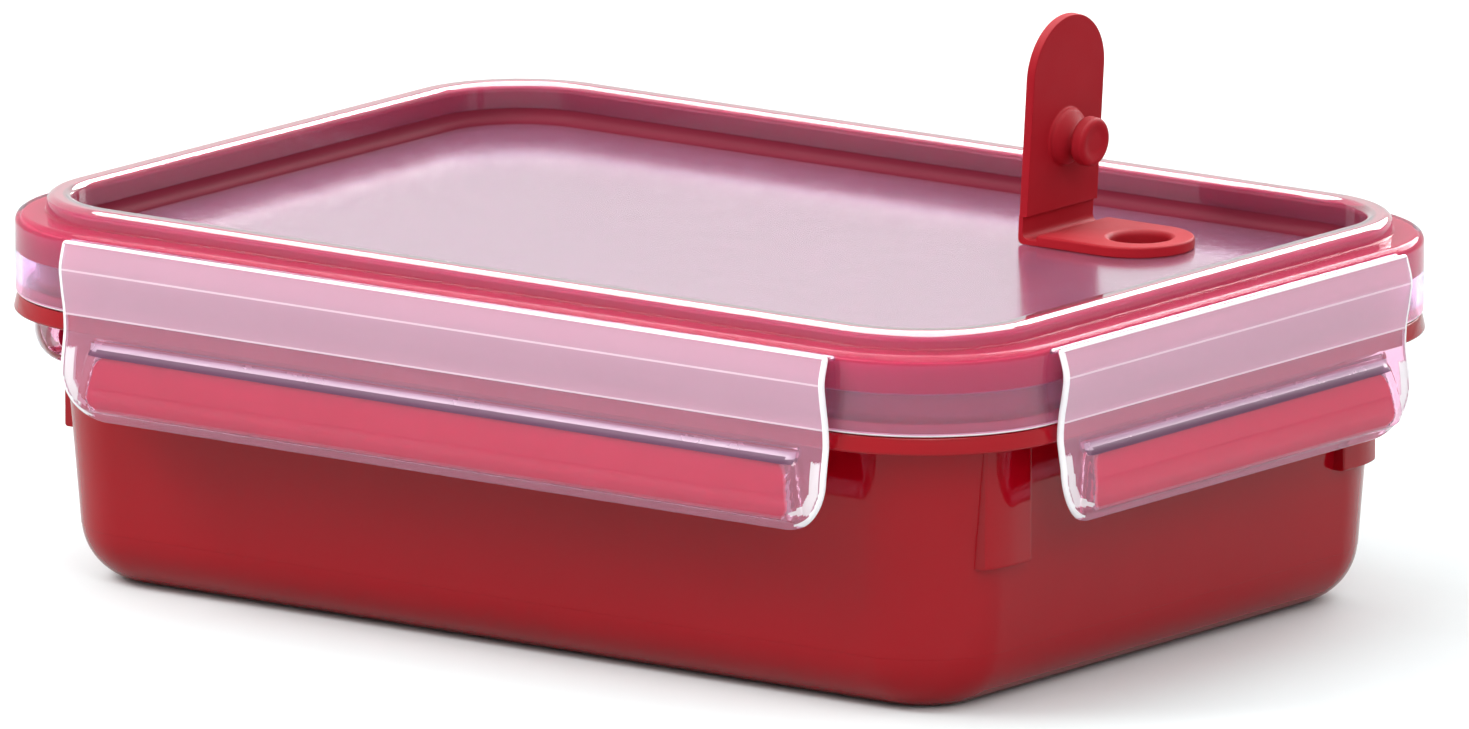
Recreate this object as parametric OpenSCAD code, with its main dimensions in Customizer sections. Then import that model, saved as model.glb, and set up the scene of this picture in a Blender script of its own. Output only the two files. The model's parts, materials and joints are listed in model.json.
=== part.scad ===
// Rectangular lunch box with a clear snap-on lid, four hinged clips and a silicone steam vent.
// X runs along the long side, Y from front (-) to back (+), Z up from the table.
// Cross-sections are lists of [inset, z]: inset is measured inwards from the lid skirt's
// outer face, and each section is swept round the same rounded rectangle.

/* [Outline] */
// Length over the lid's skirt
lid_len = 219.6; // [190:0.2:250]
// Width over the lid's skirt
lid_wid = 156; // [130:0.5:190]
// Corner radius of the lid's skirt
corner_r = 28; // [26:0.5:34]

/* [Container] */
// Underside of the container's flange above the table
flange_z = 48.5; // [40:0.1:80]
// Thickness of the container's wall and floor
wall = 1.6; // [1.2:0.1:2]
// Inset of the wall's outer face just below the flange
wall_inset = 8.2; // [7.6:0.1:8.6]
// Draft of the wall: inset gained per millimetre of depth
draft = 0.085; // [0.04:0.005:0.09]
// Radius of the fillet between wall and floor
floor_fillet = 11; // [8:0.5:11]
// Lowest point of the stacking pads
pad_z = 26; // [20:1:36]
// Length of a stacking pad along the short side
pad_len = 11.5; // [8:0.5:12]

/* [Lid] */
// Height of the skirt, from its lower edge to the shoulder
skirt_h = 14; // [13:0.1:16]
// Thickness of the skirt and the shoulder
lid_wall = 1.3; // [1.1:0.1:1.4]
// Height of the stacking ridge above the shoulder
ridge_h = 3.2; // [2.8:0.1:4]
// Depth of the panel's top below the shoulder
panel_drop = 4; // [3.6:0.1:4.4]
// Thickness of the panel
panel_t = 1.5; // [1.2:0.1:1.8]

/* [Clips] */
// Length of the front and back clips
long_clip = 166.6; // [120:0.2:168]
// Length of the left and right clips
short_clip = 102.2; // [60:0.2:103]
// Thickness of a clip's plate
clip_t = 1.1; // [0.9:0.1:1.2]
// Radius of a clip's lower corners
clip_corner = 9.5; // [6:0.5:10]
// Distance of the hinge line outside the skirt
hinge_out = 1.75; // [1.7:0.05:1.9]
// Radius of the bead along the hinge line
bead_r = 0.7; // [0.6:0.05:0.8]

/* [Vent] */
// Width of the vent's base and flap
vent_w = 21; // [20:0.5:22]
// Height of the open flap above the lid's panel
flap_h = 39.8; // [36:0.1:44]
// Thickness of the flap
flap_t = 1.8; // [1.5:0.1:2]
// Angle by which the open flap leans towards the hole
flap_lean = 3.5; // [0:0.5:6]
// Distance of the vent hole's centre from the middle of the box along X
vent_x = 61.7; // [30:0.1:66]
// Distance of the vent hole's centre from the middle of the box along Y
vent_y = 40.7; // [0:0.1:44]

/* [Hidden] */
$fn = 96;

// Colours
container_colour = [0.62, 0.13, 0.17];
silicone_colour = [0.78, 0.14, 0.18];
seal_colour = [0.80, 0.20, 0.32];
clear_colour = [0.90, 0.80, 0.88, 0.55];

// Half sizes of the outline, and of its middle inside the corner radii
half_len = lid_len / 2;
half_wid = lid_wid / 2;
core_x = half_len - corner_r;
core_y = half_wid - corner_r;

// Heights that follow from the flange and the lid
flange_top = flange_z + 3;
rim_z = flange_z + 12;
skirt_z = flange_top + 0.4;
shoulder_z = skirt_z + skirt_h;
shoulder_under = shoulder_z - lid_wall;
ridge_z = shoulder_z + ridge_h;
panel_z = shoulder_z - panel_drop;
panel_under = panel_z - panel_t;
hinge_z = shoulder_z - 1.3;

// Points of an arc about [c, z] from angle a0 to a1, in n steps
function arc(c, z, r, a0, a1, n = 4) =
    [for (i = [0:n]) let (a = a0 + (a1 - a0) * i / n) [c + r * cos(a), z + r * sin(a)]];

// Points of a smooth curve through knots, n steps to a span (Catmull-Rom)
function spline(k, n = 3) = [
    for (i = [0:len(k) - 2], j = [0:n - 1])
        let (t = j / n, p0 = k[max(i - 1, 0)], p1 = k[i], p2 = k[i + 1],
             p3 = k[min(i + 2, len(k) - 1)])
        0.5 * (2 * p1 + (p2 - p0) * t + (2 * p0 - 5 * p1 + 4 * p2 - p3) * t * t
               + (3 * p1 - p0 - 3 * p2 + p3) * t * t * t),
    k[len(k) - 1]];

function reversed(p) = [for (i = [len(p) - 1:-1:0]) p[i]];
function shifted(p, d) = [for (q = p) [q[0] + d, q[1]]];

// A straight side: a section extruded along X, its first coordinate pointing along +Y
module along_x(length, section) {
    rotate([90, 0, 90]) linear_extrude(length, center = true) polygon(section);
}

// Puts a child made for the back side on the side that faces the given angle
module on_side(angle, out) {
    rotate([0, 0, angle]) translate([0, out, 0]) children();
}

// Sweeps a section of [inset, z] round the outline. A section that reaches an inset of
// corner_r is closed in the middle by a plate between z0 and z1.
module swept(section, z0 = 0, z1 = 0) {
    corner_section = [for (p = section) [corner_r - p[0], p[1]]];
    for (sx = [-1, 1], sy = [-1, 1])
        translate([sx * core_x, sy * core_y, 0])
            rotate([0, 0, sx > 0 ? (sy > 0 ? 0 : 270) : (sy > 0 ? 90 : 180)])
                rotate_extrude(angle = 90) polygon(corner_section);
    for (side = [[0, core_y, core_x], [180, core_y, core_x],
                 [90, core_x, core_y], [270, core_x, core_y]])
        on_side(side[0], side[1]) along_x(2 * side[2], corner_section);
    if (z1 > z0)
        translate([-core_x, -core_y, z0]) cube([2 * core_x, 2 * core_y, z1 - z0]);
}

// ---- Container ----

// Inset of the container's outer wall at height z
function wall_at(z) = wall_inset + draft * (flange_z - z);

module container_shell() {
    tilt = atan(draft);
    fillet_c = wall_at(floor_fillet) + floor_fillet / cos(tilt);
    inner_r = floor_fillet - wall;
    neck = 3.4;
    outer = concat(
        [[corner_r, 0]],
        arc(fillet_c, floor_fillet, floor_fillet, 270, 180 + tilt, 6),
        [[wall_at(flange_z - 1.2), flange_z - 1.2]],
        arc(wall_inset - 1.1, flange_z - 1.1, 1.1, 0, 90, 2),
        [[0.3, flange_z]],
        arc(0.15, flange_z + 0.4, 0.4, 270, 180, 2),
        [[0.45, flange_top - 0.3], [0.7, flange_top], [1.9, flange_top], [1.9, flange_top + 2.3]],
        arc(neck + 0.2, flange_top + 4.5, 1.4, 270, 180, 3),
        arc(neck + 0.6, rim_z - 0.6, 0.6, 180, 90, 3));
    inner = concat(
        arc(neck + 1.1, rim_z - 0.5, 0.5, 90, 0, 2),
        [[neck + 1.6, flange_z + 4.5], [wall_inset + wall - 0.3, flange_z + 1.2],
         [wall_at(flange_z - 1) + wall, flange_z - 1]],
        arc(fillet_c, floor_fillet, inner_r, 180 + tilt, 270, 6),
        [[corner_r, wall]]);
    swept(concat(outer, inner), 0, wall);
}

// Upright pads at both ends of the short sides, which keep nested containers apart
module stacking_pads() {
    pad_inset = wall_inset - 0.5;
    pad_top = flange_z + 0.2;
    intersection() {
        swept([[pad_inset, pad_z], [pad_inset, pad_top], [pad_inset + 1.4, pad_top],
               [wall_at(pad_z) + 0.8, pad_z]]);
        for (sx = [-1, 1], sy = [-1, 1])
            translate([sx * (core_x + corner_r / 2), sy * (core_y - 4 + pad_len / 2), pad_z])
                translate([-corner_r / 2, -pad_len / 2, -1])
                    cube([corner_r, pad_len, pad_top - pad_z + 2]);
    }
}

module container() {
    color(container_colour) {
        container_shell();
        stacking_pads();
    }
}

// ---- Lid ----

// The lid's conical collar round the vent, under the panel
collar_h = 3.5;
collar_top_r = 8.5;
collar_end_r = 7.1;
lid_hole_r = 6.25;

module lid_shell() {
    top = concat(
        [[lid_wall, skirt_z], [0.3, skirt_z], [0, skirt_z + 0.3]],
        arc(1.6, shoulder_z - 1.6, 1.6, 180, 90, 4),
        [[4.6, shoulder_z], [5.1, shoulder_z + 0.4]],
        arc(6.7, ridge_z - 1, 1, 160, 90, 3),
        arc(9.3, ridge_z - 0.9, 0.9, 90, 10, 3),
        arc(12.9, panel_z + 2.6, 2.6, 180, 270, 4),
        [[corner_r, panel_z]]);
    under = concat(
        [[corner_r, panel_under]],
        arc(12.4, panel_under + 3.5, 3.5, 270, 180, 4),
        arc(8.2, ridge_z - 2.1, 0.7, 0, 90, 3),
        arc(7.6, ridge_z - 2.1, 0.7, 90, 180, 3),
        [[6.9, shoulder_under], [lid_wall, shoulder_under]]);
    swept(concat(top, under), panel_under, panel_z);
}

module lid() {
    color(clear_colour) difference() {
        union() {
            lid_shell();
            translate([vent_x, vent_y, panel_under - collar_h])
                cylinder(h = collar_h + 0.5, r1 = collar_end_r, r2 = collar_top_r);
        }
        translate([vent_x, vent_y, panel_under - collar_h - 1])
            cylinder(h = collar_h + panel_t + 2, r = lid_hole_r);
    }
}

// Soft seal under the shoulder, with a bead that fills the hollow ridge and a groove that
// takes the container's rim
module lid_seal() {
    outer = lid_wall + 0.05;
    bead = [7, 8.8];
    inner = 7.9;
    low = shoulder_under - 5.7;
    groove = [3.05, 5.35];
    groove_z = rim_z + 0.3;
    color(seal_colour) swept([
        [outer, low + 0.4], [outer, shoulder_under], [bead[0], shoulder_under],
        [bead[0], ridge_z - 2.3], [bead[0] + 0.5, ridge_z - 1.7], [bead[1] - 0.5, ridge_z - 1.7],
        [bead[1], ridge_z - 2.3], [bead[1], panel_z + 2],
        [inner, low + 0.4], [inner - 0.4, low], [groove[1] + 0.2, low], [groove[1], low + 0.3],
        [groove[1], groove_z], [groove[0], groove_z], [groove[0], low + 0.3],
        [groove[0] - 0.2, low], [outer + 0.4, low]]);
}

// ---- Clips ----
// Clip sections are lists of [out, z], where out is measured outwards from the skirt.

clip_low = hinge_z - 31;
clip_face = spline([
    [hinge_out + bead_r, hinge_z], [3.4, hinge_z - 3.8], [3.05, hinge_z - 7.4],
    [2.35, hinge_z - 11.4], [2.1, hinge_z - 15], [2.4, hinge_z - 17.6], [2.9, hinge_z - 21],
    [3.1, hinge_z - 25], [2.8, hinge_z - 28.4], [1.9, clip_low]], 2);

// Outer face of the finger grip, which swells out of the plate's lower half
grip_top = hinge_z - 17.2;
grip_low = clip_low + 1.7;
grip_face = spline([
    [2.3, grip_top], [3.4, grip_top - 1.4], [4.3, grip_top - 4.2], [4.85, grip_top - 7.2],
    [4.95, grip_low + 2.6], [4.1, grip_low + 0.5], [2.6, grip_low]], 2);
grip_inset = 4;
grip_skin = 0.9;

// Front view of a clip: straight sides and top, rounded lower corners
module clip_outline(length) {
    flat = length - 2 * clip_corner;
    rotate([90, 0, 0]) linear_extrude(20, center = true) {
        translate([-length / 2, clip_low + clip_corner])
            square([length, hinge_z + 1 - clip_low - clip_corner]);
        translate([-flat / 2, clip_low]) square([flat, clip_corner + 1]);
        for (s = [-1, 1]) translate([s * flat / 2, clip_low + clip_corner]) circle(clip_corner);
    }
}

// Front view of the grip: a trapezium, wider at the bottom, with rounded corners
module grip_outline(length, inset, top, low, r) {
    half = length / 2 - inset;
    slant = 1.8;
    rotate([90, 0, 0]) linear_extrude(20, center = true) {
        polygon([[-half, low + r], [half, low + r], [half - slant, top - r], [slant - half, top - r]]);
        translate([-half + r, low]) square([2 * (half - r), r]);
        translate([-half + slant + r, top - r]) square([2 * (half - slant - r), r]);
        for (s = [-1, 1]) {
            translate([s * (half - r), low + r]) circle(r);
            translate([s * (half - slant - r), top - r]) circle(r);
        }
    }
}

// Space that the soft pad fills behind the grip's skin
module grip_pocket(length, extra = 0) {
    intersection() {
        along_x(length, concat(shifted(grip_face, -grip_skin),
                               [[1.3 - extra, grip_low], [1.3 - extra, grip_top]]));
        grip_outline(length, grip_inset + 2.4, grip_top - 1.5, grip_low + 1, 2.5);
    }
}

module clip(length) {
    inner_face = shifted(clip_face, -clip_t);
    hook = [[1.6, grip_top + 1.1], [0.95, grip_top + 0.8], [0.42, grip_top + 0.3],
            [0.42, grip_top - 0.2], [1.1, grip_top - 1.4], [1.9, grip_top - 1.4]];
    color(clear_colour) difference() {
        union() {
            intersection() {
                along_x(length, concat(clip_face, reversed(inner_face)));
                clip_outline(length);
            }
            intersection() {
                along_x(length, concat(grip_face, [[1.9, grip_low], [1.5, grip_top]]));
                grip_outline(length, grip_inset, grip_top + 0.2, grip_low - 0.2, 3);
            }
            along_x(length - 12, hook);
            translate([0, hinge_out, hinge_z]) rotate([0, 90, 0])
                cylinder(h = length, r = bead_r, center = true);
        }
        grip_pocket(length, 1);
    }
}

module grip_pad(length) {
    color(seal_colour) intersection() {
        grip_pocket(length);
        along_x(length, concat(shifted(clip_face, 5), reversed(shifted(clip_face, -clip_t))));
    }
}

// Thin strip that joins the lid's shoulder to a clip's bead
module film_hinge(length) {
    reach = hinge_out - bead_r - 0.3;
    color(clear_colour)
        translate([-length / 2, 0, hinge_z - 0.25]) cube([length, reach, 0.5]);
}

module front_clip() { on_side(180, half_wid) clip(long_clip); }
module back_clip() { on_side(0, half_wid) clip(long_clip); }
module left_clip() { on_side(90, half_len) clip(short_clip); }
module right_clip() { on_side(-90, half_len) clip(short_clip); }

module front_grip_pad() { on_side(180, half_wid) grip_pad(long_clip); }
module back_grip_pad() { on_side(0, half_wid) grip_pad(long_clip); }
module left_grip_pad() { on_side(90, half_len) grip_pad(short_clip); }
module right_grip_pad() { on_side(-90, half_len) grip_pad(short_clip); }

module front_film_hinge() { on_side(180, half_wid) film_hinge(2 * core_x); }
module back_film_hinge() { on_side(0, half_wid) film_hinge(2 * core_x); }
module left_film_hinge() { on_side(90, half_len) film_hinge(2 * core_y); }
module right_film_hinge() { on_side(-90, half_len) film_hinge(2 * core_y); }

// ---- Vent ----

base_t = 2;
base_top = panel_z + base_t;
web_t = 0.9;
vent_hole_r = 5.35;
// The flap folds down about this line until it lies on the base
flap_axis = [vent_x - 16.4, base_top - 0.5];
flap_face = flap_axis[0] - 0.65;
flap_back = flap_face - flap_t;
flap_low = flap_axis[1] + 3.4;
stopper_z = flap_axis[1] + 16.4;

module vent_base() {
    end_r = vent_w / 2;
    end_x = 9.4 - end_r;
    tube_low = panel_under - collar_h - 0.9;
    color(silicone_colour) translate([vent_x, vent_y, 0]) difference() {
        union() {
            translate([end_x, 0, panel_z]) cylinder(h = base_t, r = end_r);
            translate([flap_axis[0] + 1.6 - vent_x, -end_r, panel_z])
                cube([vent_x + end_x - flap_axis[0] - 1.6, vent_w, base_t]);
            translate([0, 0, tube_low]) cylinder(h = panel_z - tube_low, r = lid_hole_r - 0.05);
            translate([0, 0, tube_low]) cylinder(h = 0.85, r = lid_hole_r + 0.8);
        }
        translate([0, 0, tube_low - 1]) cylinder(h = base_top - tube_low + 2, r = vent_hole_r);
        translate([0, 0, base_top - 0.9]) cylinder(h = 1, r1 = vent_hole_r, r2 = vent_hole_r + 0.75);
    }
}

// Bent web of thin silicone between the base and the upright flap
module vent_hinge_web() {
    start = flap_axis[0] + 1.6;
    r = 1.4;
    section = concat(
        [[start, panel_z]],
        arc(flap_back + 1, panel_z + 1, 1, 270, 180, 3),
        [[flap_back, flap_axis[1] + 2.2], [flap_back + web_t, flap_axis[1] + 2.2]],
        arc(flap_back + web_t + r, panel_z + web_t + r, r, 180, 270, 4),
        [[start, panel_z + web_t]]);
    color(silicone_colour) translate([0, vent_y, 0])
        rotate([90, 0, 0]) linear_extrude(vent_w, center = true) polygon(section);
}

// Plug on the flap: a cone against the flap, a neck and a round-edged head
module stopper() {
    head_r = 4.4;
    translate([flap_face, vent_y, stopper_z]) rotate([0, 90, 0])
        rotate_extrude() polygon(concat(
            [[0, -0.5], [5.1, -0.5], [5.1, 0.3], [4.7, 0.9], [2.9, 2.4], [2.6, 3.6]],
            arc(head_r - 0.8, 4.6, 0.8, 270, 360, 2),
            arc(head_r - 0.8, 5.7, 0.8, 0, 90, 3),
            [[0, 6.5]]));
}

module vent_flap() {
    round_z = panel_z + flap_h - vent_w / 2;
    color(silicone_colour)
        translate([flap_axis[0], 0, flap_axis[1]]) rotate([0, flap_lean, 0])
            translate([-flap_axis[0], 0, -flap_axis[1]]) {
                translate([flap_back, vent_y, 0]) {
                    translate([0, -vent_w / 2, flap_low]) cube([flap_t, vent_w, round_z - flap_low]);
                    translate([0, 0, round_z]) rotate([0, 90, 0]) cylinder(h = flap_t, r = vent_w / 2);
                }
                stopper();
            }
}

container();
lid();
lid_seal();
front_clip();
back_clip();
left_clip();
right_clip();
front_grip_pad();
back_grip_pad();
left_grip_pad();
right_grip_pad();
front_film_hinge();
back_film_hinge();
left_film_hinge();
right_film_hinge();
vent_base();
vent_hinge_web();
vent_flap();
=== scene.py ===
"""Lunch box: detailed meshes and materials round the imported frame.

Sizes are in millimetres, as in the part's source; mesh_piece() turns them into metres.
Cross-sections are lists of (inset, z), where inset is measured inwards from the lid skirt's
outer face, or of (out, z) on the clips, where out is measured outwards from it.
"""
import json
import math

import bmesh
import bpy
from mathutils import Matrix, Vector


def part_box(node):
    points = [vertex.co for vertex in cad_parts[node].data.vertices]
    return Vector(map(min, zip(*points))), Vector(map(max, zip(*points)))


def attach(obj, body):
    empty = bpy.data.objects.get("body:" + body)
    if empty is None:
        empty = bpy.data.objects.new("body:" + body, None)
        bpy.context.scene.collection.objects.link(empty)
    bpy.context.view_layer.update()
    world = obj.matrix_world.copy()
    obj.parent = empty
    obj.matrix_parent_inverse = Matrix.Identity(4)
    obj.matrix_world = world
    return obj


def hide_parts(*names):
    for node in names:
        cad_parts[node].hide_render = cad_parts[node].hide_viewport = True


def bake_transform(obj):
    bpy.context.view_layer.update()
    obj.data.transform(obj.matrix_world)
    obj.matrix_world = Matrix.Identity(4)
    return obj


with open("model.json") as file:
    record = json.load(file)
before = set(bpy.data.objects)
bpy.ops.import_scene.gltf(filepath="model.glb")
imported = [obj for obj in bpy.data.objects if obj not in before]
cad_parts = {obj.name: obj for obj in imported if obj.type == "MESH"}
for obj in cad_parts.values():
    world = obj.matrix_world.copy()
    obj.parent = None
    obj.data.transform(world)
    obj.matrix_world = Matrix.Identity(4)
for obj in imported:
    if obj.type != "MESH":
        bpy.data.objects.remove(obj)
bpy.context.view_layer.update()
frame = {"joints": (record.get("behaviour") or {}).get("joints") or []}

MM = 0.001

# ---------------------------------------------------------------- sizes from the frame


def corner_mm(node, which):
    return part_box(node)[which] / MM


def joint_mm(name):
    joint = next(j for j in frame["joints"] if j["name"] == name)
    return Vector(joint["pos_m"]) / MM


LID_HIGH = corner_mm("lid", 1)
HALF_LEN, HALF_WID = LID_HIGH.x, LID_HIGH.y
CORNER_R = 28
CORE_X, CORE_Y = HALF_LEN - CORNER_R, HALF_WID - CORNER_R
NECK_H, FLANGE_T, SKIRT_GAP, SKIRT_H = 12, 3, 0.4, 14
LID_WALL, PANEL_DROP, PANEL_T = 1.3, 4, 1.5
RIM_Z = corner_mm("container", 1).z
FLANGE_Z = RIM_Z - NECK_H
FLANGE_TOP = FLANGE_Z + FLANGE_T
SKIRT_Z = FLANGE_TOP + SKIRT_GAP
SHOULDER_Z = SKIRT_Z + SKIRT_H
SHOULDER_UNDER = SHOULDER_Z - LID_WALL
RIDGE_Z = LID_HIGH.z
PANEL_Z = SHOULDER_Z - PANEL_DROP
PANEL_UNDER = PANEL_Z - PANEL_T
HINGE_Z = joint_mm("front_clip_hinge").z
HINGE_OUT = -joint_mm("front_clip_hinge").y - HALF_WID
FLAP_AXIS = joint_mm("vent_flap_hinge")
LONG_CLIP = 2 * corner_mm("front_clip", 1).x
SHORT_CLIP = 2 * corner_mm("right_clip", 1).y
HOLE_REACH = 16.4  # from the flap's axis to the vent's hole, and to the stopper that fits it
VENT_X, VENT_Y = FLAP_AXIS.x + HOLE_REACH, FLAP_AXIS.y
BITE = 0.03  # soft parts reach this far into the clear plastic round them

# ---------------------------------------------------------------- curves and outlines


def arc(c, z, r, start, end, steps=8):
    """Points of an arc about (c, z), angles in degrees."""
    angles = [math.radians(start + (end - start) * i / steps) for i in range(steps + 1)]
    return [(c + r * math.cos(a), z + r * math.sin(a)) for a in angles]


def spline(knots, steps=8):
    """Catmull-Rom curve through knots."""
    points = []
    for i in range(len(knots) - 1):
        p0, p1, p2 = (Vector(knots[k]) for k in (max(i - 1, 0), i, i + 1))
        p3 = Vector(knots[min(i + 2, len(knots) - 1)])
        for j in range(steps):
            t = j / steps
            points.append(0.5 * (2 * p1 + (p2 - p0) * t
                                 + (2 * p0 - 5 * p1 + 4 * p2 - p3) * t * t
                                 + (3 * p1 - p0 - 3 * p2 + p3) * t ** 3))
    return [tuple(p) for p in points] + [tuple(knots[-1])]


def reader(points):
    """A function of z that reads the first coordinate along a curve falling in z."""
    line = sorted((z, out) for out, z in points)

    def read(z):
        if z <= line[0][0]:
            return line[0][1]
        for (z0, o0), (z1, o1) in zip(line, line[1:]):
            if z <= z1:
                return o0 + (o1 - o0) * (z - z0) / max(z1 - z0, 1e-9)
        return line[-1][1]
    return read


def smooth(t):
    t = min(max(t, 0), 1)
    return t * t * (3 - 2 * t)


def lerp(a, b, t):
    return a + (b - a) * t


# ---------------------------------------------------------------- meshes

SHARP_ANGLE = math.radians(40)
TURN_STEPS = 72
CORNER_ANGLES = [2.5 * i for i in range(37)]


def mesh_piece(name, verts, faces):
    """A closed, smooth-shaded mesh object from points in millimetres."""
    mesh = bpy.data.meshes.new(name)
    mesh.from_pydata([Vector(v) * MM for v in verts], [], faces)
    bm = bmesh.new()
    bm.from_mesh(mesh)
    bmesh.ops.remove_doubles(bm, verts=bm.verts, dist=1e-7)
    bmesh.ops.dissolve_degenerate(bm, edges=bm.edges, dist=1e-8)
    bmesh.ops.recalc_face_normals(bm, faces=bm.faces)
    bm.to_mesh(mesh)
    bm.free()
    piece = bpy.data.objects.new(name, mesh)
    bpy.context.scene.collection.objects.link(piece)
    finish_shading(piece)
    return piece


def finish_shading(piece):
    piece.data.shade_smooth()
    piece.data.set_sharp_from_angle(angle=SHARP_ANGLE)
    weighted = piece.modifiers.new("weighted", "WEIGHTED_NORMAL")
    weighted.keep_sharp = True


def combine(piece, others, operation):
    """Adds or cuts away other meshes, applies the result and removes them."""
    piece.modifiers.clear()
    for other in others:
        other.modifiers.clear()
        step = piece.modifiers.new("join", "BOOLEAN")
        step.operation, step.solver, step.object = operation, "EXACT", other
    graph = bpy.context.evaluated_depsgraph_get()
    result = bpy.data.meshes.new_from_object(piece.evaluated_get(graph))
    piece.modifiers.clear()
    piece.data = result
    for other in others:
        bpy.data.objects.remove(other)
    finish_shading(piece)


def outline_stations():
    """(centre x, centre y, direction x, direction y) all the way round the outline."""
    stations = []
    for sx, sy, start, turn in ((1, 1, 0, 1), (-1, 1, 180, -1), (-1, -1, 180, 1), (1, -1, 360, -1)):
        for angle in CORNER_ANGLES[::turn]:
            a = math.radians(start + turn * angle)
            stations.append((sx * CORE_X, sy * CORE_Y, math.cos(a), math.sin(a)))
    return stations


def swept(name, section, closed):
    """Sweeps a section round the outline. An open section is capped by two flat faces."""
    stations = outline_stations()
    n, m = len(section), len(stations)
    verts = [(cx + dx * (CORNER_R - inset), cy + dy * (CORNER_R - inset), z)
             for cx, cy, dx, dy in stations for inset, z in section]
    spans = n if closed else n - 1
    faces = [(i * n + j, i * n + (j + 1) % n, (i + 1) % m * n + (j + 1) % n, (i + 1) % m * n + j)
             for i in range(m) for j in range(spans)]
    if not closed:
        faces.append([i * n for i in range(m)])
        faces.append([i * n + n - 1 for i in range(m)][::-1])
    return mesh_piece(name, verts, faces)


def stacked(name, rings):
    """Joins rings of equal length into a closed solid with flat ends."""
    n = len(rings[0])
    verts = [v for ring in rings for v in ring]
    faces = [(k * n + i, k * n + (i + 1) % n, (k + 1) * n + (i + 1) % n, (k + 1) * n + i)
             for k in range(len(rings) - 1) for i in range(n)]
    faces.append(list(range(n))[::-1])
    faces.append([(len(rings) - 1) * n + i for i in range(n)])
    return mesh_piece(name, verts, faces)


def lathe(name, profile, place):
    """Turns (radius, height) points about the Z axis, then moves them with place."""
    turn = [2 * math.pi * i / TURN_STEPS for i in range(TURN_STEPS)]
    rings = [[place @ Vector((r * math.cos(a), r * math.sin(a), h)) for a in turn]
             for r, h in profile]
    return stacked(name, rings)


def shell(name, columns, rows, outer, inner, place):
    """A plate over a grid: columns and rows give (x, z), outer and inner give out. It closes
    where its two faces meet along the border."""
    grid = [[rows(u, v) for v in range(rows.count)] for u in columns]
    verts, faces = [], []
    n, m = len(grid), rows.count
    for side in (outer, inner):
        for column in grid:
            verts += [place(x, side(x, z), z) for x, z in column]

    def at(side, i, j):
        return side * n * m + i * m + j
    for side in (0, 1):
        for i in range(n - 1):
            for j in range(m - 1):
                faces.append((at(side, i, j), at(side, i + 1, j),
                              at(side, i + 1, j + 1), at(side, i, j + 1)))
    return mesh_piece(name, verts, faces)


# ---------------------------------------------------------------- materials


def srgb(r, g, b):
    """Linear colour from the 0-255 values that a screen shows."""
    def linear(c):
        c /= 255
        return c / 12.92 if c <= 0.04045 else ((c + 0.055) / 1.055) ** 2.4
    return (linear(r), linear(g), linear(b), 1)


MOTTLE = 60  # noise scale of the slow drift in colour


def moulded(name, light, dark, rough, grain=900, bump=0.02, **sockets):
    """Plastic or rubber: colour that drifts a little, uneven gloss and a fine moulded grain."""
    mat = bpy.data.materials.new(name)
    mat.use_nodes = True
    nodes, links = mat.node_tree.nodes, mat.node_tree.links
    shader = nodes["Principled BSDF"]
    where = nodes.new("ShaderNodeTexCoord")

    def noise(scale, detail):
        node = nodes.new("ShaderNodeTexNoise")
        node.inputs["Scale"].default_value = scale
        node.inputs["Detail"].default_value = detail
        links.new(where.outputs["Object"], node.inputs["Vector"])
        return node

    drift = noise(MOTTLE, 3)
    tint = nodes.new("ShaderNodeMix")
    tint.data_type = "RGBA"
    tint.inputs["A"].default_value = light
    tint.inputs["B"].default_value = dark
    links.new(drift.outputs["Fac"], tint.inputs["Factor"])
    links.new(tint.outputs["Result"], shader.inputs["Base Color"])
    gloss = nodes.new("ShaderNodeMapRange")
    gloss.inputs["From Min"].default_value = 0.3
    gloss.inputs["From Max"].default_value = 0.7
    gloss.inputs["To Min"].default_value = rough[0]
    gloss.inputs["To Max"].default_value = rough[1]
    links.new(noise(MOTTLE * 2.3, 4).outputs["Fac"], gloss.inputs["Value"])
    links.new(gloss.outputs["Result"], shader.inputs["Roughness"])
    relief = nodes.new("ShaderNodeBump")
    relief.inputs["Strength"].default_value = bump
    relief.inputs["Distance"].default_value = 0.0002
    links.new(noise(grain, 2).outputs["Fac"], relief.inputs["Height"])
    links.new(relief.outputs["Normal"], shader.inputs["Normal"])
    for socket, value in sockets.items():
        shader.inputs[socket.replace("_", " ")].default_value = value
    return mat


def clear(name, light, dark, rough, through, bump=0.01, IOR=1.49, **sockets):
    """Clear plastic that lets a share of the light through."""
    return moulded(name, light, dark, rough, grain=1500, bump=bump, IOR=IOR,
                   Transmission_Weight=through, **sockets)


CONTAINER_RED = moulded("container_red", srgb(161, 4, 22), srgb(153, 2, 17), (0.07, 0.12),
                        grain=2500, bump=0.02, Specular_IOR_Level=0.3)
VENT_RED = moulded("vent_silicone", srgb(164, 26, 38), srgb(153, 21, 32), (0.5, 0.62),
                   grain=3500, bump=0.12, Specular_IOR_Level=0.08)
PAD_RED = moulded("pad_silicone", srgb(207, 3, 78), srgb(199, 2, 72), (0.35, 0.45),
                  grain=3000, bump=0.05, Specular_IOR_Level=0.3)
SEAL_RED = moulded("seal_silicone", srgb(184, 10, 72), srgb(176, 8, 66), (0.35, 0.45),
                   grain=3000, bump=0.05, Specular_IOR_Level=0.3)
# A darker copy of the seal's red: painted shade on the seal's faces that face the recess.
SEAL_SHADE_RED = moulded("seal_painted_shade", srgb(142, 5, 46), srgb(132, 4, 40), (0.35, 0.45),
                   grain=3000, bump=0.05, Specular_IOR_Level=0.3)
CLEAR = clear("clear_plastic", srgb(250, 218, 254), srgb(248, 212, 250), (0.02, 0.04), 0.96,
              bump=0.005, Specular_IOR_Level=0.05)
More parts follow.
